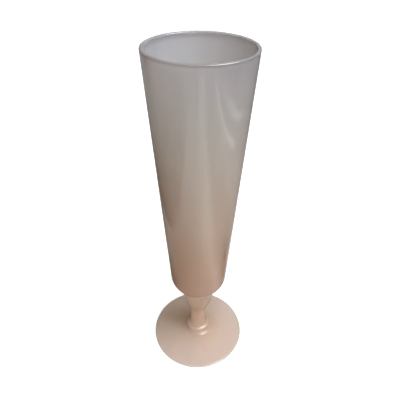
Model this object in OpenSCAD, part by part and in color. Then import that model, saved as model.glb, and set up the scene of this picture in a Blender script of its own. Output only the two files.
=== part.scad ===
// Opaline vase made of three gathers of glass joined while hot: a tall blown
// bowl, a drawn stem that cups it, and a round foot. Millimetres, +Z up. The
// origin lies on the table, under the middle of the foot.

/* [Bowl] */
// Height of the lip above the table
vase_h = 350; // [300:1:400]
// Outer width of the mouth
mouth_d = 90; // [76:1:106]
// Outer width of the bowl at the turn, where its straight side rounds under
turn_d = 61; // [52:0.5:70]
// Height of the turn above the table
turn_z = 104.5; // [96:0.5:124]
// Depth of the rounded bottom below the turn
bottom_depth = 21.5; // [16:0.5:30]
// Thickness of the wall just below the lip
wall_t = 2.2; // [1.6:0.1:3]
// Thickness of the wall at the turn
turn_wall_t = 3; // [2:0.1:5]
// Thickness of the glass in the middle of the bottom
bottom_t = 6.5; // [4:0.5:9]
// Thickness of the fire-polished lip
lip_t = 2.8; // [2.2:0.1:4]
// Height of the stretch in which the lip thins down to the wall
lip_h = 6; // [4:0.5:12]

/* [Stem] */
// Width of the cup that holds the bowl
cup_d = 36; // [30:0.5:44]
// Height of the straight collar round the top of the cup
collar_h = 2; // [1:0.5:4]
// Width of the waist
waist_d = 19; // [14:0.2:22]
// Height of the waist above the table
waist_z = 35; // [28:0.5:44]
// Width of the button at the lower end of the stem
button_d = 28.5; // [25:0.5:36]
// Thickness of the button
button_t = 6.8; // [5:0.2:9]
// How far the round shoulder of the button reaches in from its side
button_round = 1.8; // [1:0.2:4]

/* [Foot] */
// Width of the foot
foot_d = 109; // [90:1:130]
// Thickness of the foot at its round edge
edge_t = 3.2; // [2.4:0.1:5]
// Height of the seat that carries the stem
seat_z = 10.5; // [8:0.5:14]
// Radius of the fillet that leads from the seat down to the upper face
fillet_r = 1.2; // [0.6:0.2:2.4]
// Width of the flat ring that the vase rests on
rest_w = 5; // [2:0.5:8]
// Rise of the shallow hollow inside that ring
hollow_h = 2.2; // [0.6:0.2:3]
// Width of the ground dish in the middle of the hollow
pontil_d = 24; // [16:1:30]
// Depth of the ground dish
pontil_depth = 0.8; // [0.4:0.1:1.2]

/* [Hidden] */
$fn = 128;
// Number of straight steps in each curved stretch of an outline
steps = 20;
// Reach of a blank past the surface that trims it
overrun = 1;
// Angle above the widest line of the button at which the flare runs into it
flare_angle = 78;
// Reach of the two handles of the lip's inner curve, as shares of its height
lip_shares = [0.4, 0.5];
// Reach of the handles of the curve from the waist up to the cup, likewise
cup_shares = [0.4, 0.56];
// Reach of the handles of the flare, at the waist as a share of its height and
// at the button as a share of its width
flare_shares = [0.9, 1];
// Slope of the foot's upper face where it leaves the fillet
foot_slope = 16;
// Reach of the handles of the foot's upper face, at the edge as shares of its
// run and rise and at the fillet as a share of its run
foot_shares = [[0.4, 0.3], 0.28];

// Bowl: outer side, inner side and the round lip
mouth_r = mouth_d / 2;
turn_r = turn_d / 2;
lip_r = lip_t / 2;
lip_z = vase_h - lip_r;
lean = (mouth_r - turn_r) / (lip_z - turn_z);
lip_foot_z = vase_h - lip_h;
lip_foot_r = turn_r + lean * (lip_foot_z - turn_z) - wall_t;
inner_turn_r = turn_r - turn_wall_t;
inner_depth = bottom_depth - bottom_t;
inner_lean = (lip_foot_r - inner_turn_r) / (lip_foot_z - turn_z);

// Stem: the cup ends where the underside of the bowl is as wide as the cup
waist_r = waist_d / 2;
cup_r = cup_d / 2;
cup_z = lookup(cup_r, under(turn_r, turn_z, bottom_depth, lean));
collar_z = cup_z - collar_h;
seat_r = button_d / 2;
button_z = seat_z + button_t / 2;

// Foot: the half-round edge, the ring under it and the hollow within
edge_r = edge_t / 2;
rim_r = foot_d / 2 - edge_r;
rest_r = rim_r - rest_w;
pontil_r = pontil_d / 2;
pontil_z = dome(pontil_r, rest_r, hollow_h);

// Point at share t of the way along the curve that four handles set
function bezier(p, t) =
    pow(1 - t, 3) * p[0] + 3 * pow(1 - t, 2) * t * p[1]
    + 3 * (1 - t) * t * t * p[2] + pow(t, 3) * p[3];

// Points of that curve from its first handle to its last
function curve(p) = [for (i = [0:steps]) bezier(p, i / steps)];

// Points of an ellipse about c with half axes h, from angle a to angle b
function arc(c, h, a, b) = [
    for (i = [0:steps])
        let (t = a + (b - a) * i / steps)
        [c[0] + h[0] * cos(t), c[1] + h[1] * sin(t)]
];

// Rounded bottom from the middle out to radius r at height z. It starts
// level and ends along a side that leans out by side_lean.
function under(r, z, depth, side_lean) = [
    for (i = [0:steps])
        let (t = 90 - 90 * i / steps)
        [cos(t) * (r - side_lean * depth * sin(t)), z - depth * sin(t)]
];

// Height at radius r of a shallow dome of height h over a circle of radius base
function dome(r, base, h) = h * (1 - pow(r / base, 2));

// The same points from last to first
function reversed(p) = [for (i = [len(p) - 1:-1:0]) p[i]];

// Run a followed by run b, which starts where a ends
function joined(a, b) = concat(a, [for (i = [1:len(b) - 1]) b[i]]);

// Inner curve of the lip, from the lip's round edge down to the wall
function lip_inside() =
    let (drop = lip_z - lip_foot_z)
    curve([
        [mouth_r - lip_t, lip_z],
        [mouth_r - lip_t, lip_z - drop * lip_shares[0]],
        [lip_foot_r + inner_lean * drop * lip_shares[1], lip_foot_z + drop * lip_shares[1]],
        [lip_foot_r, lip_foot_z]
    ]);

function bowl_outline() =
    let (
        outside = under(turn_r, turn_z, bottom_depth, lean),
        inside = under(inner_turn_r, turn_z, inner_depth, inner_lean),
        lip = arc([mouth_r - lip_r, lip_z], [lip_r, lip_r], 0, 180)
    )
    concat(outside, joined(lip, lip_inside()), reversed(inside));

// Side of the stem from its seat on the foot up to the collar
function stem_side() =
    let (
        shoulder = arc(
            [seat_r - button_round, button_z],
            [button_round, button_t / 2],
            0,
            flare_angle
        ),
        end = shoulder[steps],
        slope = button_t / 2 * cos(flare_angle) / (button_round * sin(flare_angle)),
        flare_w = end[0] - waist_r,
        flare_h = waist_z - end[1],
        neck_h = collar_z - waist_z,
        flare = curve([
            end,
            end + flare_w * flare_shares[1] * [-1, slope],
            [waist_r, waist_z - flare_h * flare_shares[0]],
            [waist_r, waist_z]
        ]),
        neck = curve([
            [waist_r, waist_z],
            [waist_r, waist_z + neck_h * cup_shares[0]],
            [cup_r, collar_z - neck_h * cup_shares[1]],
            [cup_r, collar_z]
        ])
    )
    concat([[seat_r, seat_z]], joined(shoulder, joined(flare, neck)));

function foot_outline() =
    let (
        fillet = arc(
            [seat_r + fillet_r, seat_z],
            [fillet_r, fillet_r],
            180,
            270 - foot_slope
        ),
        end = fillet[steps],
        run = rim_r - end[0],
        rise = end[1] - edge_t,
        top = curve([
            end,
            end + run * foot_shares[1] * [1, -tan(foot_slope)],
            [rim_r - run * foot_shares[0][0], edge_t + rise * foot_shares[0][1]],
            [rim_r, edge_t]
        ]),
        edge = arc([rim_r, edge_r], [edge_r, edge_r], 90, -90),
        hollow = [
            for (i = [0:steps])
                let (r = rest_r + (pontil_r - rest_r) * i / steps)
                [r, dome(r, rest_r, hollow_h)]
        ],
        dish = [
            for (i = [0:steps])
                let (r = pontil_r * (1 - i / steps))
                [r, pontil_z + dome(r, pontil_r, pontil_depth)]
        ]
    )
    concat([[0, seat_z]], joined(fillet, joined(top, edge)), joined(hollow, dish));

// Solid as wide as the outside of the bowl's bottom, which trims the stem
module bowl_blank() {
    rotate_extrude()
        polygon(concat(under(turn_r, turn_z, bottom_depth, lean), [[0, turn_z]]));
}

module bowl() {
    color([0.68, 0.61, 0.58])
        rotate_extrude()
            polygon(bowl_outline());
}

module stem() {
    color([0.68, 0.56, 0.49])
        difference() {
            rotate_extrude()
                polygon(concat(
                    [[0, seat_z]],
                    stem_side(),
                    [[cup_r, cup_z + overrun], [0, cup_z + overrun]]
                ));
            bowl_blank();
        }
}

module foot() {
    color([0.83, 0.75, 0.69])
        rotate_extrude()
            polygon(foot_outline());
}

bowl();
stem();
foot();
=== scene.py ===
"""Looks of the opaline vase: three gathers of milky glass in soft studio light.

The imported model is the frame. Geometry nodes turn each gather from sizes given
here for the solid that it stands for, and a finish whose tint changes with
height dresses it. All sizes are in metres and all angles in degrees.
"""

import logging
import math
from abc import ABC, abstractmethod
from dataclasses import dataclass
from enum import Enum
from typing import Callable, ClassVar, Mapping, Sequence, Union

import bpy
from bpy.types import Material, Node, NodeSocket, NodeTree, Object, World
from mathutils import Matrix, Vector


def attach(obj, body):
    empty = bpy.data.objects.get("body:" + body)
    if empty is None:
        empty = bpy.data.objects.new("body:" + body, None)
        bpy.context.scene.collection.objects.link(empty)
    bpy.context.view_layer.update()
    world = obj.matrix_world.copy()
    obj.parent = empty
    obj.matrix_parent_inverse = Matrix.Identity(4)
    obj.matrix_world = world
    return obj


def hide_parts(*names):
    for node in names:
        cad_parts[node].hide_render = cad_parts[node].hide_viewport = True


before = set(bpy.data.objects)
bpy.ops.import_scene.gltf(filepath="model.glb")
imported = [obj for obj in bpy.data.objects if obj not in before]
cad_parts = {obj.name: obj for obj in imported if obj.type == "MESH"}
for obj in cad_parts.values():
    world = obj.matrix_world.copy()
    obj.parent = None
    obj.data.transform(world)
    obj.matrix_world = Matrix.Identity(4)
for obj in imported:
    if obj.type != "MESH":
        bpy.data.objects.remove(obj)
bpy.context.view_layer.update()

LOG = logging.getLogger("opaline_vase")
MILLIMETRE = 0.001
FULL_TURN = 360.0
QUARTER_TURN = 90.0
HALF_TURN = 180.0
SIDE_BLUR = 0.01
MERGE_DISTANCE = 0.000002
CREASE_ANGLE = 28.0
CORD_STRETCH = 0.12
NOISE_MIDDLE = 0.5
ROUNDING_GUARD = 0.5
RIPPLE_DETAIL = 1.0
HALVINGS = 40
SEEN_RAYS = ("Camera", "Glossy", "Transmission")
NEUTRAL = (1.0, 1.0, 1.0)
LEVEL_PART = (1.0, 1.0, 0.0)

Pair = tuple[float, float]
Colour = tuple[float, float, float]


def screen(red: float, green: float, blue: float) -> Colour:
    """Turns an eight-bit screen colour into a linear colour.

    Args:
        red: Red from 0 to 255.
        green: Green from 0 to 255.
        blue: Blue from 0 to 255.

    Returns:
        The same colour as linear red, green and blue from 0 to 1.
    """
    toe, toe_slope, offset, gamma = 0.04045, 12.92, 0.055, 2.4

    def channel(value: float) -> float:
        """Turns one channel from screen value to linear value."""
        share = value / 255
        return share / toe_slope if share <= toe else ((share + offset) / (1 + offset)) ** gamma

    return channel(red), channel(green), channel(blue)


class Gather(Enum):
    """The gathers of glass, by the name of the solid that each stands for."""

    BOWL = "bowl"
    STEM = "stem"
    FOOT = "foot"

    @property
    def slot(self) -> str:
        """Name of the record's material slot for this gather."""
        return f"{self.value}_glass"


@dataclass(frozen=True)
class Grain:
    """A soft unevenness in glass.

    Attributes:
        strength: How much it changes what it lies in.
        width: Width of one patch of it.
        detail: How finely the patches break up.
    """

    strength: float
    width: float
    detail: float


class Sheet:
    """A node tree that is written in plain calls."""

    def __init__(self, tree: NodeTree) -> None:
        """Keeps the tree that the calls write into.

        Args:
            tree: An empty shader or geometry node tree.
        """
        self.tree = tree

    def node(
        self,
        kind: str,
        feeds: Mapping[Union[str, int], "Feed"] | None = None,
        **settings: object,
    ) -> Node:
        """Adds one node, sets it and feeds its inputs.

        Args:
            kind: Type name of the node.
            feeds: Values or outputs for the inputs, by name or by place.
            **settings: Properties of the node itself.

        Returns:
            The new node.
        """
        node = self.tree.nodes.new(kind)
        for name, value in settings.items():
            setattr(node, name, value)
        for key, feed in (feeds or {}).items():
            self.feed(node.inputs[key], feed)
        return node

    def feed(self, socket: NodeSocket, feed: "Feed") -> None:
        """Links an output to an input, or sets the input's own value.

        Args:
            socket: The input.
            feed: An output, an amount, a node's first output, or a plain value.
        """
        if isinstance(feed, Amount):
            feed = feed.socket
        if isinstance(feed, Node):
            feed = feed.outputs[0]
        if isinstance(feed, NodeSocket):
            self.tree.links.new(feed, socket)
        else:
            socket.default_value = feed

    def math(self, operation: str, *terms: "Feed") -> "Amount":
        """Adds one math node.

        Args:
            operation: Name of the operation.
            *terms: Its terms in order.

        Returns:
            The result.
        """
        node = self.node("ShaderNodeMath", dict(enumerate(terms)), operation=operation)
        return Amount(self, node.outputs[0])

    def vector(self, operation: str, *terms: "Feed") -> Node:
        """Adds one node that works on vectors."""
        return self.node("ShaderNodeVectorMath", dict(enumerate(terms)), operation=operation)

    def noise(self, place: "Feed", grain: Grain) -> "Amount":
        """Noise of the grain at a place, between 0 and 1."""
        feeds = {"Vector": place, "Scale": 1.0 / grain.width, "Detail": grain.detail}
        return Amount(self, self.node("ShaderNodeTexNoise", feeds).outputs[0])

    def fade(
        self, value: "Feed", span: Pair, results: Pair = (0.0, 1.0), smooth: bool = False
    ) -> "Amount":
        """Adds one node that changes from one result to another as a value crosses a span.

        Args:
            value: The value.
            span: Where the change starts and where it ends.
            results: The results before and after it.
            smooth: Whether the change eases in and out.

        Returns:
            The result.
        """
        ends = {"From Min": span[0], "From Max": span[1], "To Min": results[0], "To Max": results[1]}
        kind = "SMOOTHSTEP" if smooth else "LINEAR"
        node = self.node("ShaderNodeMapRange", {"Value": value, **ends}, interpolation_type=kind)
        return Amount(self, node.outputs[0])


def arithmetic(operation: str, turned: bool = False) -> Callable[["Amount", "Term"], "Amount"]:
    """Makes the method behind an arithmetic sign of an amount.

    Args:
        operation: Name of the operation.
        turned: Whether the amount is the second term.

    Returns:
        The method.
    """

    def method(amount: "Amount", other: "Term") -> "Amount":
        """Result of the operation on the amount and the other term."""
        terms = (other, amount) if turned else (amount, other)
        return amount.sheet.math(operation, *terms)

    return method


@dataclass(frozen=True)
class Amount:
    """A number inside a node tree, which plain arithmetic works on.

    Attributes:
        sheet: The tree.
        socket: The output that carries the number.
    """

    sheet: Sheet
    socket: NodeSocket

    __add__ = arithmetic("ADD")
    __radd__ = arithmetic("ADD", turned=True)
    __sub__ = arithmetic("SUBTRACT")
    __rsub__ = arithmetic("SUBTRACT", turned=True)
    __mul__ = arithmetic("MULTIPLY")
    __rmul__ = arithmetic("MULTIPLY", turned=True)
    __truediv__ = arithmetic("DIVIDE")
    __rtruediv__ = arithmetic("DIVIDE", turned=True)

    def cos(self) -> "Amount":
        """Cosine of this amount as an angle in degrees."""
        return self.sheet.math("COSINE", self.sheet.math("RADIANS", self))

    def sin(self) -> "Amount":
        """Sine of this amount as an angle in degrees."""
        return self.sheet.math("SINE", self.sheet.math("RADIANS", self))


Term = Union[Amount, float]
Feed = Union[Amount, NodeSocket, Node, float, int, Sequence[float], Material]
Spot = tuple[Term, Term]
Rule = Callable[[Amount], Spot]
Stretch = tuple[int, Rule]


def straight(start: Spot, end: Spot) -> Rule:
    """Describes a straight stretch of an outline.

    Args:
        start: Radius and height where it starts.
        end: Radius and height where it ends.

    Returns:
        Its rule, which gives radius and height from the share of the way along.
    """

    def rule(share: Amount) -> Spot:
        """Spot at a share of the way along the straight stretch."""
        radius, height = ((1.0 - share) * a + share * b for a, b in zip(start, end))
        return radius, height

    return rule


def bezier(handles: Sequence[Spot]) -> Rule:
    """Describes a curved stretch between two spots.

    Args:
        handles: The start, the two handles and the end.

    Returns:
        Its rule.
    """

    def rule(share: Amount) -> Spot:
        """Weighs the handles at a share of the way along the curve.

        Args:
            share: The share of the way.

        Returns:
            Radius and height there.
        """
        back = 1.0 - share
        weights = (
            back * back * back,
            3.0 * back * back * share,
            3.0 * back * share * share,
            share * share * share,
        )
        radius, height = (
            weights[0] * a + weights[1] * b + weights[2] * c + weights[3] * d
            for a, b, c, d in zip(*handles)
        )
        return radius, height

    return rule


def oval(centre: Spot, reach: Spot, span: Spot, lean: Term = 0.0) -> Rule:
    """Describes a stretch of an oval.

    Args:
        centre: Radius and height of its centre.
        reach: Its half widths across and upwards.
        span: The angles where it starts and ends.
        lean: How far its side leans, which draws it in between the ends.

    Returns:
        Its rule.
    """

    def rule(share: Amount) -> Spot:
        """Finds the spot at a share of the way along the oval.

        Args:
            share: The share of the way.

        Returns:
            Radius and height there.
        """
        angle = (1.0 - share) * span[0] + share * span[1]
        radius = angle.cos() * (reach[0] + angle.sin() * lean * reach[1])
        return centre[0] + radius, centre[1] + angle.sin() * reach[1]

    return rule


def dome(span: Spot, base: Term, rise: Term, floor: Term = 0.0) -> Rule:
    """Describes a stretch of a shallow dome.

    Args:
        span: The radii where it starts and ends.
        base: Radius of the circle that the dome stands on.
        rise: Height of the dome over that circle.
        floor: Height of the circle.

    Returns:
        Its rule.
    """

    def rule(share: Amount) -> Spot:
        """Spot at a share of the way along the dome."""
        radius = (1.0 - share) * span[0] + share * span[1]
        return radius, floor + rise * (1.0 - (radius / base) * (radius / base))

    return rule


class Lathe(Sheet):
    """A geometry node tree that turns an outline about the upright axis."""

    def __init__(self, name: str, sizes: Mapping[str, float]) -> None:
        """Starts the tree and names its inputs.

        Args:
            name: Name of the tree.
            sizes: The piece's sizes by name. Each becomes an input.
        """
        super().__init__(bpy.data.node_groups.new(name, "GeometryNodeTree"))
        face = self.tree.interface
        face.new_socket("Geometry", in_out="OUTPUT", socket_type="NodeSocketGeometry")
        made = {
            size: face.new_socket(size, in_out="INPUT", socket_type="NodeSocketFloat")
            for size in sizes
        }
        self.given = {socket.identifier: sizes[size] for size, socket in made.items()}
        inlet = self.node("NodeGroupInput")
        self.sizes = {size: Amount(self, inlet.outputs[size]) for size in sizes}

    def plot(self, steps: int, rule: Rule) -> Node:
        """Draws one stretch of the outline.

        Args:
            steps: Number of steps along the stretch.
            rule: Its rule.

        Returns:
            The stretch as a line of points.
        """
        line = self.node("GeometryNodeMeshLine", {"Count": steps + 1})
        index = Amount(self, self.node("GeometryNodeInputIndex").outputs[0])
        radius, height = rule(index / float(steps))
        spot = self.node("ShaderNodeCombineXYZ", {"X": radius, "Z": height})
        feeds = {"Geometry": line, "Position": spot}
        return self.node("GeometryNodeSetPosition", feeds)

    def turn(self, outline: Sequence[Stretch], segments: int, glass: Material) -> None:
        """Turns the outline into a closed skin and ends the tree.

        Args:
            outline: Steps and rule of each stretch, from the axis back to the axis.
            segments: Number of segments round the axis.
            glass: The material of the skin.
        """
        joined = self.node("GeometryNodeJoinGeometry")
        for steps, rule in reversed(outline):
            self.feed(joined.inputs[0], self.plot(steps, rule))
        count = self.node("GeometryNodeAttributeDomainSize", {0: joined})
        stations = Amount(self, count.outputs[0])
        feeds = {"Vertices X": segments + 1, "Vertices Y": stations}
        grid = self.node("GeometryNodeMeshGrid", feeds)
        index = Amount(self, self.node("GeometryNodeInputIndex").outputs[0])
        station = self.math("MODULO", index, stations)
        segment = self.math("FLOOR", (index + ROUNDING_GUARD) / stations)
        angle = segment * (FULL_TURN / segments)
        position = self.node("GeometryNodeInputPosition")
        feeds = {"Geometry": joined, "Value": position, "Index": station}
        sample = self.node("GeometryNodeSampleIndex", feeds, data_type="FLOAT_VECTOR")
        split = self.node("ShaderNodeSeparateXYZ", {0: sample})
        radius, height = Amount(self, split.outputs["X"]), split.outputs["Z"]
        feeds = {"X": radius * angle.cos(), "Y": radius * angle.sin(), "Z": height}
        spot = self.node("ShaderNodeCombineXYZ", feeds)
        feeds = {"Geometry": grid, "Position": spot}
        skin = self.node("GeometryNodeSetPosition", feeds)
        feeds = {"Geometry": skin, "Distance": MERGE_DISTANCE}
        closed = self.node("GeometryNodeMergeByDistance", feeds)
        self.finish(self.ripple(closed), glass)

    def ripple(self, skin: Node) -> Node:
        """Draws the skin in a little here and there, as hand work leaves it.

        Args:
            skin: The closed skin.

        Returns:
            The rippled skin, which nowhere stands out past the true one.
        """
        position = self.node("GeometryNodeInputPosition")
        feeds = {
            "Vector": position,
            "W": self.sizes["ripple seed"],
            "Scale": 1.0 / self.sizes["ripple spacing"],
            "Detail": RIPPLE_DETAIL,
        }
        noise = self.node("ShaderNodeTexNoise", feeds, noise_dimensions="4D")
        draw = 1.0 - Amount(self, noise.outputs[0]) * self.sizes["ripple share"]
        scale = self.node("ShaderNodeCombineXYZ", {"X": draw, "Y": draw, "Z": 1.0})
        feeds = {"Geometry": skin, "Position": self.vector("MULTIPLY", position, scale)}
        return self.node("GeometryNodeSetPosition", feeds)

    def finish(self, skin: Node, glass: Material) -> None:
        """Smooths the skin up to its true creases, gives it its glass and ends the tree.

        Args:
            skin: The finished skin.
            glass: Its material.
        """
        angle = self.node("GeometryNodeInputMeshEdgeAngle")
        feeds = {0: angle, 1: math.radians(CREASE_ANGLE)}
        crease = self.node("FunctionNodeCompare", feeds, data_type="FLOAT", operation="GREATER_THAN")
        smooth = self.node("GeometryNodeSetShadeSmooth", {"Geometry": skin}, domain="FACE")
        feeds = {"Geometry": smooth, "Selection": crease, "Shade Smooth": False}
        creased = self.node("GeometryNodeSetShadeSmooth", feeds, domain="EDGE")
        real = self.node("GeometryNodeRealizeInstances", {0: creased})
        feeds = {"Geometry": real, "Material": glass}
        dressed = self.node("GeometryNodeSetMaterial", feeds)
        outlet = self.node("NodeGroupOutput")
        self.feed(outlet.inputs[0], dressed)


@dataclass(frozen=True)
class Clearing:
    """The top of a gather: fire-polished glass holds less milk, and painted shade darkens the lit
    lip.

    Attributes:
        start: Height where the glass starts to clear.
        end: Height above which it is as clear as it gets.
        share: Share of the tint that is left there.
    """

    start: float
    end: float
    share: float


@dataclass(frozen=True)
class Opaline:
    """Milky glass whose tint changes with height, with painted light on its inner side where given.

    Attributes:
        tints: Height above the table and colour, from low to high.
        inside: Painted light: how much stronger each colour is on a side that faces the axis.
        clearing: Where the glass clears and takes painted shade towards a lip, if it has one.
        roughness: How far its gloss is from a mirror's.
        index: How strongly it bends light.
        milk: Share of the light that scatters inside the glass.
        reach: Distance that red, green and blue light travel inside it.
        cloud: The clouds in the milk.
        cord: The upright wisps that blowing draws out.
        sway: The faint waves in the fire-polished surface, as strong as they are high.
    """

    tints: tuple[tuple[float, Colour], ...]
    inside: Colour = NEUTRAL
    clearing: Clearing | None = None
    roughness: float = 0.02
    index: float = 1.5
    milk: float = 1.0
    reach: Colour = (0.0082, 0.0066, 0.0054)
    cloud: Grain = Grain(strength=0.035, width=0.040, detail=3.0)
    cord: Grain = Grain(strength=0.03, width=0.010, detail=2.0)
    sway: Grain = Grain(strength=0.00006, width=0.018, detail=1.0)

    def material(self, name: str) -> Material:
        """Builds the glass as a node material.

        Args:
            name: Name of the material.

        Returns:
            The material.
        """
        glass = bpy.data.materials.new(name)
        glass.use_nodes = True
        sheet = Sheet(glass.node_tree)
        glass.node_tree.nodes.clear()
        place = sheet.node("ShaderNodeTexCoord").outputs["Object"]
        shader = sheet.node(
            "ShaderNodeBsdfPrincipled",
            {
                "Base Color": self.tint(sheet, place),
                "Roughness": self.roughness,
                "IOR": self.index,
                "Subsurface Weight": self.milk,
                "Subsurface Radius": tuple(r / max(self.reach) for r in self.reach),
                "Subsurface Scale": max(self.reach),
                "Normal": self.waves(sheet, place),
            },
        )
        sheet.node("ShaderNodeOutputMaterial", {"Surface": shader})
        return glass

    def tint(self, sheet: Sheet, place: NodeSocket) -> NodeSocket:
        """Paints the tint by height, with clouds and wisps in it.

        Args:
            sheet: The material's tree.
            place: The place on the piece.

        Returns:
            The colour.
        """
        low, high = self.tints[0][0], self.tints[-1][0]
        height = sheet.node("ShaderNodeSeparateXYZ", {0: place}).outputs["Z"]
        ramp = sheet.node("ShaderNodeValToRGB", {0: sheet.fade(height, (low, high))})
        ramp.color_ramp.interpolation = "B_SPLINE"
        stops = ramp.color_ramp.elements
        while len(stops) < len(self.tints):
            stops.new(1.0)
        for stop, (level, colour) in zip(stops, self.tints):
            stop.position = (level - low) / (high - low)
            stop.color = (*colour, 1.0)
        feeds = {"Vector": place, "Scale": (1.0, 1.0, CORD_STRETCH)}
        stretched = sheet.node("ShaderNodeMapping", feeds)
        gain = 1.0
        for where, grain in ((place, self.cloud), (stretched, self.cord)):
            swing = sheet.noise(where, grain) - NOISE_MIDDLE
            gain = gain + swing * (grain.strength / NOISE_MIDDLE)
        # Darkens the lip: partly clearer glass, partly painted shade against the light on its top.
        if self.clearing:
            span = (self.clearing.start, self.clearing.end)
            gain = gain * sheet.fade(height, span, (1.0, self.clearing.share))
        # The inner side's colour is multiplied by its painted light.
        shaded = sheet.vector("MULTIPLY", ramp.outputs["Color"], self.sides(sheet, place))
        feeds = {0: shaded, "Scale": gain}
        return sheet.node("ShaderNodeVectorMath", feeds, operation="SCALE").outputs[0]

    def sides(self, sheet: Sheet, place: NodeSocket) -> NodeSocket:
        """Tells the gather's inner side from its outer side, to paint light on the inner side.

        Args:
            sheet: The material's tree.
            place: The place on the piece.

        Returns:
            What each colour is multiplied by there: painted inner light inside, 1 outside.
        """
        normal = sheet.node("ShaderNodeNewGeometry").outputs["Normal"]
        level = sheet.vector("MULTIPLY", place, LEVEL_PART)
        outward = sheet.vector("DOT_PRODUCT", level, normal)
        facing = sheet.fade(outward.outputs["Value"], (SIDE_BLUR, -SIDE_BLUR))
        mixed = sheet.node("ShaderNodeMix", {"Factor": facing}, data_type="VECTOR")
        for socket in mixed.inputs:
            if socket.type == "VECTOR":
                sheet.feed(socket, NEUTRAL if socket.name == "A" else self.inside)
        return next(socket for socket in mixed.outputs if socket.type == "VECTOR")

    def waves(self, sheet: Sheet, place: NodeSocket) -> NodeSocket:
        """Lays faint waves in the polished surface.

        Args:
            sheet: The material's tree.
            place: The place on the piece.

        Returns:
            The surface's direction.
        """
        noise = sheet.noise(place, self.sway)
        feeds = {"Height": noise, "Distance": self.sway.strength, "Strength": 1.0}
        return sheet.node("ShaderNodeBump", feeds).outputs[0]


@dataclass(frozen=True)
class Ripple:
    """Slow ripples that hand work leaves in a skin.

    Attributes:
        share: The most that they draw the skin in, as a share of its radius.
        spacing: Distance from one ripple to the next.
        seed: Number that picks the ripples.
    """

    share: float
    spacing: float
    seed: float

    def sizes(self) -> dict[str, float]:
        """Sizes of the ripples by name."""
        return {f"ripple {name}": size for name, size in vars(self).items()}


@dataclass
class TurnedGather(ABC):
    """A gather of glass whose skin is turned from an outline.

    Attributes:
        gather: Which gather it is.
        finish: Its glass.
        ripple: The ripples in its skin.
        segments: Number of segments round the axis.
        steps: Number of steps in a curved stretch of the outline.
        long_steps: Number of steps in a long stretch.
        short_steps: Number of steps in a short stretch.
        brief_steps: Number of steps up the side of a button.
        flat_steps: Number of steps in a narrow flat stretch.
    """

    gather: ClassVar[Gather]
    finish: Opaline
    ripple: Ripple
    segments: int = 192
    steps: int = 24
    long_steps: int = 48
    short_steps: int = 12
    brief_steps: int = 8
    flat_steps: int = 2

    def sizes(self) -> dict[str, float]:
        """Names the sizes that the outline is drawn from.

        Returns:
            Each field that holds one measure, by name, and the sizes of the ripples.
        """
        own = {
            name.replace("_", " "): size
            for name, size in vars(self).items()
            if isinstance(size, float)
        }
        return {**own, **self.ripple.sizes()}

    @abstractmethod
    def outline(self, size: Mapping[str, Amount]) -> list[Stretch]:
        """Draws the outline from the axis round the glass and back.

        Args:
            size: The sizes by name.

        Returns:
            Steps and rule of each stretch.
        """

    def build(self) -> Object:
        """Turns the gather, makes it a plain mesh and joins it to the frame.

        Returns:
            The finished piece.
        """
        name = self.gather.value
        lathe = Lathe(f"turned {name}", self.sizes())
        lathe.turn(self.outline(lathe.sizes), self.segments, self.finish.material(f"{name} glass"))
        piece = bpy.data.objects.new(f"{name}_glass", bpy.data.meshes.new(f"{name}_glass"))
        bpy.context.scene.collection.objects.link(piece)
        modifier = piece.modifiers.new("Turned", "NODES")
        modifier.node_group = lathe.tree
        for identifier, size in lathe.given.items():
            modifier[identifier] = size
        evaluated = piece.evaluated_get(bpy.context.evaluated_depsgraph_get())
        plain = bpy.data.meshes.new_from_object(evaluated)
        piece.modifiers.remove(modifier)
        piece.data = plain
        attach(piece, "root")
        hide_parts(name)
        return piece


@dataclass
class Bowl(TurnedGather):
    """The blown bowl: straight leaning side, rounded bottom and polished lip.

    The turn is where the straight side rounds under. The lip thins down to the wall over
    its drop, by a curve whose handles reach the given shares of it.
    """

    gather: ClassVar[Gather] = Gather.BOWL
    height: float = 0.350
    mouth_radius: float = 0.045
    turn_radius: float = 0.0305
    turn_height: float = 0.1045
    bottom_depth: float = 0.0215
    wall: float = 0.0022
    turn_wall: float = 0.003
    bottom: float = 0.0065
    lip: float = 0.0028
    lip_drop: float = 0.006
    lip_reach: Pair = (0.4, 0.5)
    ripple: Ripple = Ripple(share=0.006, spacing=0.045, seed=3.0)

    @property
    def lean(self) -> float:
        """How far the outer side leans out for each metre of height."""
        rise = self.height - self.lip / 2 - self.turn_height
        return (self.mouth_radius - self.turn_radius) / rise

    def outline(self, size: Mapping[str, Amount]) -> list[Stretch]:
        """Draws the bowl's outside, its lip and its inside.

        Args:
            size: The sizes by name.

        Returns:
            Steps and rule of each stretch.
        """
        turn_radius, turn_height = size["turn radius"], size["turn height"]
        mouth, lip_radius = size["mouth radius"], size["lip"] / 2.0
        lip_height = size["height"] - lip_radius
        lean = (mouth - turn_radius) / (lip_height - turn_height)
        wall_height = size["height"] - size["lip drop"]
        wall_radius = turn_radius + lean * (wall_height - turn_height) - size["wall"]
        inner_radius = turn_radius - size["turn wall"]
        inner_depth = size["bottom depth"] - size["bottom"]
        inner_lean = (wall_radius - inner_radius) / (wall_height - turn_height)
        inner_lip = mouth - size["lip"]
        drop = lip_height - wall_height
        upper, lower = self.lip_reach
        below, under = (0.0, turn_height), (turn_radius, size["bottom depth"])
        within = (inner_radius, inner_depth)
        lip_middle = (mouth - lip_radius, lip_height)
        lip_side, inner_turn = (mouth, lip_height), (inner_radius, turn_height)
        lip_curve = (
            (inner_lip, lip_height),
            (inner_lip, lip_height - drop * upper),
            (wall_radius + inner_lean * drop * lower, wall_height + drop * lower),
            (wall_radius, wall_height),
        )
        return [
            (self.steps, oval(below, under, (-QUARTER_TURN, 0.0), lean)),
            (self.long_steps, straight((turn_radius, turn_height), lip_side)),
            (self.steps, oval(lip_middle, (lip_radius, lip_radius), (0.0, HALF_TURN))),
            (self.short_steps, bezier(lip_curve)),
            (self.long_steps, straight(lip_curve[-1], inner_turn)),
            (self.steps, oval(below, within, (0.0, -QUARTER_TURN), inner_lean)),
        ]


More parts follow.
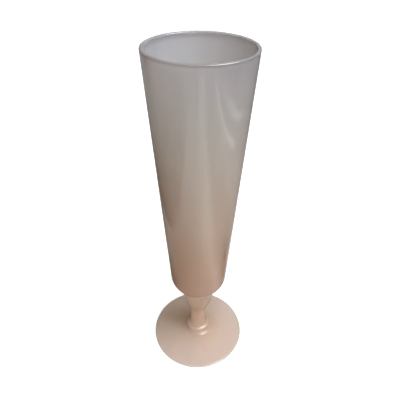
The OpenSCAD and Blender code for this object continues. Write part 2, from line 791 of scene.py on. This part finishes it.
@dataclass
class Stem(TurnedGather):
    """The drawn stem: a cup under the bowl, a waist and a round button.

    The handles of the curve up to the cup reach the given shares of its height. Those of the
    flare down to the button reach a share of its height and a share of its width. The weld is
    how far the cup reaches into the bowl, and the melt how far stem and foot dome into each
    other inside the glass.
    """

    gather: ClassVar[Gather] = Gather.STEM
    bowl: Bowl | None = None
    cup_radius: float = 0.018
    collar: float = 0.002
    waist_radius: float = 0.0095
    waist_height: float = 0.035
    button_radius: float = 0.01425
    button: float = 0.0068
    button_round: float = 0.0036
    seat_height: float = 0.0105
    flare_angle: float = 62.0
    cup_reach: Pair = (0.4, 0.56)
    flare_reach: Pair = (0.6, 0.8)
    weld: float = 0.0002
    melt: float = 0.004
    ripple: Ripple = Ripple(share=0.010, spacing=0.020, seed=5.0)

    @property
    def cup_angle(self) -> float:
        """Finds where the bowl's rounded bottom is as wide as the cup, by halving.

        Returns:
            The angle there, from 0 at the turn to a quarter turn down at the middle.
        """
        low, high = -QUARTER_TURN, 0.0
        for _ in range(HALVINGS):
            middle = (low + high) / 2
            angle = math.radians(middle)
            drawn_in = self.bowl.lean * self.bowl.bottom_depth * math.sin(angle)
            radius = math.cos(angle) * (self.bowl.turn_radius + drawn_in)
            low, high = (middle, high) if radius < self.cup_radius else (low, middle)
        return low

    def sizes(self) -> dict[str, float]:
        """Adds the sizes of the bowl that the cup follows.

        Returns:
            The sizes by name.
        """
        return {
            "bowl turn radius": self.bowl.turn_radius,
            "bowl turn height": self.bowl.turn_height,
            "bowl bottom depth": self.bowl.bottom_depth,
            "bowl lean": self.bowl.lean,
            "cup angle": self.cup_angle,
            **super().sizes(),
        }

    def outline(self, size: Mapping[str, Amount]) -> list[Stretch]:
        """Draws the stem's seat, its side and the cup under the bowl.

        Args:
            size: The sizes by name.

        Returns:
            Steps and rule of each stretch.
        """
        seat = (size["button radius"], size["seat height"])
        half_button, reach = size["button"] / 2.0, size["button round"]
        angle, cup = size["flare angle"], size["cup radius"]
        shoulder = (seat[0] - reach, seat[1] + half_button)
        end = (shoulder[0] + reach * angle.cos(), shoulder[1] + half_button * angle.sin())
        weld_height = size["bowl turn height"] + size["weld"]
        cup_height = weld_height + size["bowl bottom depth"] * size["cup angle"].sin()
        collar_height = cup_height - size["collar"]
        waist = (size["waist radius"], size["waist height"])
        slope = half_button * angle.cos() / (reach * angle.sin())
        flare_out = (end[0] - waist[0]) * self.flare_reach[1]
        flare_down = (waist[1] - end[1]) * self.flare_reach[0]
        flare_curve = (
            end,
            (end[0] - flare_out, end[1] + flare_out * slope),
            (waist[0], waist[1] - flare_down),
            waist,
        )
        neck = collar_height - waist[1]
        neck_curve = (
            waist,
            (waist[0], waist[1] + neck * self.cup_reach[0]),
            (cup, collar_height - neck * self.cup_reach[1]),
            (cup, collar_height),
        )
        round_shoulder = (reach, half_button)
        cup_side = (cup, cup_height)
        bowl_middle = (0.0, weld_height)
        bowl_reach = (size["bowl turn radius"], size["bowl bottom depth"])
        cup_span = (size["cup angle"], -QUARTER_TURN)
        return [
            (self.steps, dome((0.0, seat[0]), seat[0], 0.0 - size["melt"], seat[1])),
            (self.brief_steps, straight(seat, (seat[0], shoulder[1]))),
            (self.steps, oval(shoulder, round_shoulder, (0.0, angle))),
            (self.steps, bezier(flare_curve)),
            (self.long_steps, bezier(neck_curve)),
            (self.flat_steps, straight(neck_curve[-1], cup_side)),
            (self.steps, oval(bowl_middle, bowl_reach, cup_span, size["bowl lean"])),
        ]


@dataclass
class Foot(TurnedGather):
    """The round foot: gentle rise to its seat, round edge and hollow underside.

    It rests on a flat ring. The pontil is the ground dish in the middle of the hollow. The
    fillet climbs the side of the button, and the upper face leaves it at the given slope.
    The handles of that face reach shares of its run and its rise at the rim and a share of
    its run at the fillet.
    """

    gather: ClassVar[Gather] = Gather.FOOT
    stem: Stem | None = None
    radius: float = 0.0545
    edge: float = 0.0032
    rest: float = 0.005
    hollow: float = 0.0022
    pontil_radius: float = 0.012
    pontil: float = 0.0008
    fillet: float = 0.0050
    climb: float = 0.0034
    slope: float = 16.0
    rim_reach: Pair = (0.4, 0.3)
    fillet_reach: float = 0.28
    ripple: Ripple = Ripple(share=0.006, spacing=0.030, seed=7.0)

    def sizes(self) -> dict[str, float]:
        """Adds the sizes of the stem that the fillet leads up to.

        Returns:
            The sizes by name.
        """
        return {
            "seat height": self.stem.seat_height,
            "seat radius": self.stem.button_radius,
            "melt": self.stem.melt,
            **super().sizes(),
        }

    def outline(self, size: Mapping[str, Amount]) -> list[Stretch]:
        """Draws the foot's underside, its edge and its upper face.

        Args:
            size: The sizes by name.

        Returns:
            Steps and rule of each stretch.
        """
        edge, dish = size["edge"], size["pontil radius"]
        fillet, slope = size["fillet"], size["slope"]
        half_edge = edge / 2.0
        rim = size["radius"] - half_edge
        rest_radius = rim - size["rest"]
        seat = (size["seat radius"], size["seat height"] + size["climb"])
        middle = (seat[0] + fillet, seat[1])
        end = (middle[0] - fillet * slope.sin(), middle[1] - fillet * slope.cos())
        run = rim - end[0]
        rise = end[1] - edge
        fall = run * size["fillet reach"] * slope.sin() / slope.cos()
        share = dish / rest_radius
        pontil_height = size["hollow"] * (1.0 - share * share)
        rim_in, rim_up = self.rim_reach
        top_curve = (
            (rim, edge),
            (rim - run * rim_in, edge + rise * rim_up),
            (end[0] + run * size["fillet reach"], end[1] - fall),
            end,
        )
        half_round = (-QUARTER_TURN, QUARTER_TURN)
        fillet_span = (HALF_TURN + QUARTER_TURN - slope, HALF_TURN)
        return [
            (self.short_steps, dome((0.0, dish), dish, size["pontil"], pontil_height)),
            (self.steps, dome((dish, rest_radius), rest_radius, size["hollow"])),
            (self.flat_steps, straight((rest_radius, 0.0), (rim, 0.0))),
            (self.steps, oval((rim, half_edge), (half_edge, half_edge), half_round)),
            (self.long_steps, bezier(top_curve)),
            (self.short_steps, oval(middle, (fillet, fillet), fillet_span)),
            (self.steps, dome((seat[0], 0.0), seat[0], size["melt"], seat[1])),
        ]


def bearing(azimuth: float, elevation: float) -> Vector:
    """Points from the vase in a direction.

    Args:
        azimuth: Angle from the front towards the right.
        elevation: Angle above the table.

    Returns:
        The direction, one metre long.
    """
    turn, rise = math.radians(azimuth), math.radians(elevation)
    level = math.cos(rise)
    return Vector((math.sin(turn) * level, -math.cos(turn) * level, math.sin(rise)))


@dataclass(frozen=True)
class Viewpoint:
    """The photograph's camera, found from the outline of the vase.

    Attributes:
        focal_pixels: Focal length in pixels of the picture.
        picture_pixels: Width of the picture in pixels.
        distance: Distance in front of the vase's axis.
        height: Height above the table.
        pitch: Angle that it looks down.
        yaw: Angle that it looks to the right.
        roll: Angle that the picture is turned.
    """

    focal_pixels: float = 374.8
    picture_pixels: float = 400.0
    distance: float = 0.28672
    height: float = 0.42556
    pitch: float = 37.215
    yaw: float = 0.215
    roll: float = -0.618

    def build(self) -> Object:
        """Places the scene's camera.

        Returns:
            The camera.
        """
        data = bpy.data.cameras.new("viewpoint")
        data.lens = self.focal_pixels / self.picture_pixels * data.sensor_width
        data.clip_start = MILLIMETRE
        yaw, roll = math.radians(self.yaw), math.radians(self.roll)
        ahead = -bearing(-self.yaw, self.pitch)
        level = Vector((math.cos(yaw), -math.sin(yaw), 0.0))
        down = ahead.cross(level)
        right = level * math.cos(roll) + down * math.sin(roll)
        below = down * math.cos(roll) - level * math.sin(roll)
        camera = bpy.data.objects.new("viewpoint", data)
        turned = Matrix((right, -below, -ahead)).transposed().to_4x4()
        camera.matrix_world = Matrix.Translation((0.0, -self.distance, self.height)) @ turned
        bpy.context.scene.collection.objects.link(camera)
        bpy.context.scene.camera = camera
        return camera


@dataclass(frozen=True)
class Lamp:
    """A soft studio lamp that faces the vase.

    Attributes:
        name: Name of the lamp.
        azimuth: Direction that it stands in, from the front towards the right.
        elevation: Direction that it stands in, above the table.
        light: Light that it throws on a surface that faces it, where 1 shows
            a colour as it is written.
        distance: Distance from the point that it faces.
        width: Width of its face.
        height: Height of its face.
        colour: Its colour.
        mirrored: Whether it is only there for the glass to mirror its face.
    """

    name: str
    azimuth: float
    elevation: float
    light: float
    distance: float = 1.2
    width: float = 0.7
    height: float = 0.7
    colour: Colour = NEUTRAL
    mirrored: bool = False

    def build(self, aim: Vector) -> Object:
        """Hangs the lamp.

        Args:
            aim: The point that it faces.

        Returns:
            The lamp.
        """
        data = bpy.data.lights.new(self.name, "AREA")
        data.shape = "RECTANGLE"
        data.size, data.size_y = self.width, self.height
        data.energy = self.light * math.pi * math.pi * self.distance**2
        data.color = self.colour
        back = bearing(self.azimuth, self.elevation)
        lamp = bpy.data.objects.new(self.name, data)
        lamp.location = aim + back * self.distance
        lamp.rotation_euler = (-back).to_track_quat("-Z", "Y").to_euler()
        lamp.visible_camera = False
        lamp.visible_glossy = self.mirrored
        lamp.visible_diffuse = not self.mirrored
        bpy.context.scene.collection.objects.link(lamp)
        return lamp


@dataclass(frozen=True)
class Ground:
    """A place on the floor, inside the floor's node tree.

    Attributes:
        sheet: The floor's tree.
        across: Distance to the right of the vase's axis.
        away: Distance beyond the vase's axis.
    """

    sheet: Sheet
    across: Amount
    away: Amount


@dataclass(frozen=True)
class Edge:
    """A straight edge on the floor that runs nearly away from the camera.

    Attributes:
        side: Distance of the edge to the right of the vase's axis.
        lean: How far it runs to the right for each metre away from the camera.
        blur: Half width over which it fades.
    """

    side: float
    lean: float
    blur: float

    def beyond(self, place: Ground) -> Amount:
        """Gives 1 to the right of the edge and 0 to the left of it."""
        gap = place.across - place.away * self.lean
        return place.sheet.fade(gap, (self.side - self.blur, self.side + self.blur), smooth=True)


@dataclass(frozen=True)
class Band:
    """A band of the floor that the glass mirrors brighter than the rest.

    Attributes:
        sides: Distances of its left and its right edge to the right of the vase's axis.
        leans: How far each of them runs to the right for each metre away from the camera.
        blurs: Half widths over which they fade.
        light: Light that it adds.
        start: Distances beyond the vase's axis between which it fades in.
        end: Distances beyond the vase's axis between which it fades out.
    """

    sides: Pair
    leans: Pair
    blurs: Pair
    light: float
    start: Pair = (-4.0, -3.0)
    end: Pair = (0.0, 0.3)

    def glow(self, place: Ground) -> Amount:
        """Gives the light that the band adds at a place of the floor.

        Args:
            place: The place.

        Returns:
            That light.
        """
        inside, past = (
            Edge(side, lean, blur).beyond(place)
            for side, lean, blur in zip(self.sides, self.leans, self.blurs)
        )
        turned = Ground(place.sheet, place.away, place.across)
        begun, gone = (
            Edge((near + far) / 2, 0.0, (far - near) / 2).beyond(turned)
            for near, far in (self.start, self.end)
        )
        return inside * (1.0 - past) * begun * (1.0 - gone) * self.light


@dataclass(frozen=True)
class Pool:
    """A round pool of shade on the floor that the glass mirrors.

    Attributes:
        middle: How far its middle lies to the right of the vase's axis and
            beyond it.
        reach: Its half widths in those two directions.
        core: Share of its reach where the shade starts to thin out.
        left: Share of the light that is left in its core.
    """

    middle: Pair
    reach: Pair
    core: float
    left: float

    def share(self, place: Ground) -> Amount:
        """Gives the share of the light that the pool leaves at a place of the floor.

        Args:
            place: The place.

        Returns:
            That share.
        """
        aside = (place.across - self.middle[0]) / self.reach[0]
        beyond = (place.away - self.middle[1]) / self.reach[1]
        distance = place.sheet.math("SQRT", aside * aside + beyond * beyond, 0.0)
        return place.sheet.fade(distance, (self.core, 1.0), (self.left, 1.0))


TABLE_SHADE = Pool(middle=(-0.236, 0.15), reach=(0.357, 0.547), core=0.526, left=0.34)
LEFT_FOOT_SHADE = Pool(middle=(-0.095, 0.04), reach=(0.05, 0.08), core=0.45, left=0.35)
RIGHT_FOOT_SHADE = Pool(middle=(0.13, 0.04), reach=(0.08, 0.08), core=0.3, left=0.35)
ROOM_SHADE = Pool(middle=(-0.02, 0.04), reach=(0.86, 0.80), core=0.37, left=0.0)

# Bands of daylight on the mirrored table: light that the floor shows only to the glass, as painted
# reflections.
LEFT_DAYLIGHT_BAND = Band(sides=(-0.4, 0.077), leans=(0.0, 0.21), blurs=(0.05, 0.12), light=0.78)
MIDDLE_STREAK = Band(
    sides=(0.026, 0.19), leans=(0.07, 0.06), blurs=(0.067, 0.053), light=0.94, end=(-0.19, 0.06)
)
STREAK_NEAR_PART = Band(
    sides=(0.004, 0.137), leans=(0.07, 0.03), blurs=(0.01, 0.02), light=0.35, end=(-0.45, -0.25)
)
STREAK_FAR_LINE = Band(
    sides=(0.096, 0.133), leans=(0.1, -0.06), blurs=(0.01, 0.01), light=0.55, start=(-0.35, -0.25)
)
RIGHT_DAYLIGHT_BAND = Band(sides=(0.306, 0.44), leans=(0.17, -0.08), blurs=(0.078, 0.044), light=0.38)
NEAR_GLINT = Band(
    sides=(0.458, 0.48), leans=(0.163, 0.163), blurs=(0.006, 0.006), light=1.6, end=(-0.26, -0.1)
)
NEAR_GLINT_END = Band(
    sides=(0.444, 0.493), leans=(0.07, 0.14), blurs=(0.01, 0.01),
    light=1.4, start=(-0.26, -0.12), end=(-0.04, 0.04),
)
FAR_GLINT = Band(sides=(0.568, 0.612), leans=(0.14, 0.01), blurs=(0.01, 0.012), light=1.3)


@dataclass(frozen=True)
class MirroredTable:
    """What the glass mirrors of the table, its two ends and the room beyond.

    Attributes:
        left: The table's left edge.
        right: The table's right edge.
        light: Light of the table.
        far_share: Share of all this light that is left far behind the vase.
        fade: Distances beyond the vase's axis between which it falls to that.
        shades: The shade of the vase and of the table's things on the table.
        room: The table's shade on the room's floor.
        room_light: Light of the room's floor outside that shade.
        bands: Bands where daylight falls on the table.
    """

    left: Edge = Edge(side=-0.2163, lean=0.031, blur=0.004)
    right: Edge = Edge(side=0.74, lean=0.36, blur=0.15)
    light: float = 0.78
    far_share: float = 0.233
    fade: Pair = (-0.237, 0.574)
    shades: tuple[Pool, ...] = (TABLE_SHADE, RIGHT_FOOT_SHADE, LEFT_FOOT_SHADE)
    room: Pool = ROOM_SHADE
    room_light: float = 1.7
    bands: tuple[Band, ...] = (
        LEFT_DAYLIGHT_BAND,
        MIDDLE_STREAK,
        STREAK_NEAR_PART,
        STREAK_FAR_LINE,
        RIGHT_DAYLIGHT_BAND,
        NEAR_GLINT,
        NEAR_GLINT_END,
        FAR_GLINT,
    )

    def glow(self, place: Ground) -> Amount:
        """Gives the light that the glass mirrors at a place of the floor.

        Args:
            place: The place.

        Returns:
            That light.
        """
        fade = place.sheet.fade(place.away, self.fade, (1.0, self.far_share), smooth=True)
        table = self.light
        for band in self.bands:
            table = table + band.glow(place)
        for shade in self.shades:
            table = table * shade.share(place)
        room = self.room.share(place) * self.room_light
        glow = room + self.left.beyond(place) * (table - room)
        return glow * (1.0 - self.right.beyond(place)) * fade


class StageSheet(Sheet):
    """The node tree of the floor or the sky, which tells rays of different kinds apart."""

    def __init__(self, block: Union[Material, World]) -> None:
        """Empties the tree and asks which kind of ray has come.

        Args:
            block: The material or the world that the tree belongs to.
        """
        block.use_nodes = True
        block.node_tree.nodes.clear()
        super().__init__(block.node_tree)
        path = self.node("ShaderNodeLightPath")
        self.camera, self.mirror, self.glass = (
            Amount(self, path.outputs[f"Is {kind} Ray"]) for kind in SEEN_RAYS
        )


@dataclass(frozen=True)
class Studio:
    """A pale floor, an even sky and soft lamps.

    Attributes:
        floor_reach: Half width of the floor.
        floor_colour: How pale the floor is.
        floor_glow: Where the floor adds less light of its own, so that shade shows.
        sky_light: Light of the sky on the vase.
        sky_colour: Colour of that light.
        sky_mirrored: Light of the sky where the glass mirrors it.
        lamps: The lamps.
        aim: Height of the point that the lamps face.
        mirrored: What the glass mirrors of the floor.
    """

    floor_reach: float = 4.0
    floor_colour: Colour = (0.70, 0.70, 0.70)
    floor_glow: Pool = Pool(middle=(0.0, 0.0), reach=(1.1, 1.1), core=0.4, left=0.7)
    sky_light: float = 0.02
    sky_colour: Colour = (1.0, 0.93, 0.87)
    sky_mirrored: float = 0.1
    lamps: tuple[Lamp, ...] = ()
    aim: float = 0.18
    mirrored: MirroredTable = MirroredTable()

    def build(self) -> None:
        """Lays the floor, lights the sky and hangs the lamps."""
        self.lay_floor()
        self.light_sky()
        for lamp in self.lamps:
            lamp.build(Vector((0.0, 0.0, self.aim)))

    def lay_floor(self) -> Object:
        """Lays the pale floor that the vase stands on.

        Returns:
            The floor.
        """
        reach = self.floor_reach
        mesh = bpy.data.meshes.new("floor")
        corners = [(-reach, -reach, 0), (reach, -reach, 0), (reach, reach, 0), (-reach, reach, 0)]
        mesh.from_pydata(corners, [], [(0, 1, 2, 3)])
        floor = bpy.data.objects.new("floor", mesh)
        bpy.context.scene.collection.objects.link(floor)
        material = bpy.data.materials.new("pale floor")
        sheet = StageSheet(material)
        matt = sheet.node("ShaderNodeBsdfDiffuse", {"Color": (*self.floor_colour, 1.0)})
        place = sheet.node("ShaderNodeTexCoord").outputs["Object"]
        split = sheet.node("ShaderNodeSeparateXYZ", {0: place})
        ground = Ground(sheet, *(Amount(sheet, split.outputs[axis]) for axis in "XY"))
        glow = self.floor_glow.share(ground)
        pale = sheet.node("ShaderNodeEmission", {"Strength": sheet.camera * glow})
        both = sheet.node("ShaderNodeAddShader", {0: matt, 1: pale})
        room = sheet.node("ShaderNodeEmission", {"Strength": self.mirrored.glow(ground)})
        feeds = {0: sheet.mirror, 1: both, 2: room}
        chosen = sheet.node("ShaderNodeMixShader", feeds)
        sheet.node("ShaderNodeOutputMaterial", {"Surface": chosen})
        mesh.materials.append(material)
        return floor

    def light_sky(self) -> None:
        """Makes the sky white where it is seen and softer where it lights the vase."""
        world = bpy.data.worlds.new("sky")
        sheet = StageSheet(world)
        feeds = {"Color": (*self.sky_colour, 1.0), "Strength": self.sky_light}
        soft = sheet.node("ShaderNodeBackground", feeds)
        direct = sheet.camera + sheet.glass
        feeds = {"Color": (*NEUTRAL, 1.0), "Strength": direct + sheet.mirror * self.sky_mirrored}
        bright = sheet.node("ShaderNodeBackground", feeds)
        seen = sheet.math("MINIMUM", direct + sheet.mirror, 1.0)
        feeds = {0: seen, 1: soft, 2: bright}
        chosen = sheet.node("ShaderNodeMixShader", feeds)
        sheet.node("ShaderNodeOutputWorld", {"Surface": chosen})
        bpy.context.scene.world = world


BOWL_TINTS = (
    (0.083, screen(198, 150, 123)),
    (0.110, screen(195, 150, 120)),
    (0.160, screen(189, 153, 123)),
    (0.213, screen(194, 171, 153)),
    (0.258, screen(191, 176, 162)),
    (0.294, screen(185, 178, 169)),
    (0.325, screen(181, 177, 174)),
    (0.350, screen(179, 174, 175)),
)
# Painted light on the bowl's inner wall: brighter and bluer, as light falling in through the mouth
# makes it.
BOWL_PAINTED_INSIDE_LIGHT = (1.27, 1.33, 1.385)
# The lip's darker tint is partly clearer glass and partly painted shade against the light on its
# top.
BOWL_LIP_CLEARING_AND_SHADE = Clearing(start=0.3470, end=0.3490, share=0.65)
STEM_TINTS_WITH_PAINTED_JOIN_LIGHT = (
    # Pale low on the button: painted light that lifts the shade of the crease where the stem meets
    # the foot.
    (0.0136, screen(247, 214, 195)),
    (0.0168, screen(219, 190, 167)),
    (0.086, screen(211, 177, 153)),
)
FOOT_TINTS_WITH_PAINTED_LIGHT_AND_SHADE = (
    (0.0, screen(227, 206, 195)),
    (0.0065, screen(222, 199, 183)),
    # Darker brown towards the seat: partly the thicker glass there, partly painted contact shade
    # round the stem.
    (0.0098, screen(208, 182, 159)),
    # Pale where the fillet climbs the button: painted light that lifts the shade of the crease at
    # the join.
    (0.0136, screen(247, 214, 195)),
)
STEM_REACH = (0.011, 0.0088, 0.0072)

LAMPS = (
    Lamp("skylight", azimuth=60.0, elevation=70.0, light=0.885, colour=(0.955, 1.01, 1.10)),
    Lamp(
        "front fill",
        azimuth=0.0,
        elevation=45.0,
        light=0.373,
        distance=1.6,
        width=1.4,
        colour=(0.95, 0.91, 0.94),
    ),
    Lamp(
        "low fill",
        azimuth=10.0,
        elevation=15.0,
        light=0.08,
        distance=1.5,
        width=1.0,
        height=0.8,
        colour=(1.05, 1.12, 1.0),
    ),
    Lamp("back fill", azimuth=170.0, elevation=45.0, light=0.12, colour=(1.18, 1.11, 0.63)),
    Lamp("left fill", azimuth=-70.0, elevation=40.0, light=0.04, colour=(1.2, 1.0, 0.6)),
    Lamp("window", azimuth=53.0, elevation=45.0, light=2.0, width=1.0, mirrored=True),
)
STUDIO = Studio(lamps=LAMPS)


def main() -> None:
    """Builds the vase, the studio and the camera, and reports each piece."""
    logging.basicConfig(level=logging.INFO, format="%(name)s: %(message)s")
    bowl = Bowl(Opaline(BOWL_TINTS, BOWL_PAINTED_INSIDE_LIGHT, BOWL_LIP_CLEARING_AND_SHADE, milk=0.6))
    stem = Stem(Opaline(STEM_TINTS_WITH_PAINTED_JOIN_LIGHT, reach=STEM_REACH), bowl=bowl)
    foot = Foot(Opaline(FOOT_TINTS_WITH_PAINTED_LIGHT_AND_SHADE), stem=stem)
    for gather in (bowl, stem, foot):
        piece = gather.build()
        LOG.info("%s: %d faces", piece.name, len(piece.data.polygons))
    STUDIO.build()
    Viewpoint().build()
    scene = bpy.context.scene
    scene.view_settings.view_transform = "Standard"


if __name__ == "__main__":
    main()
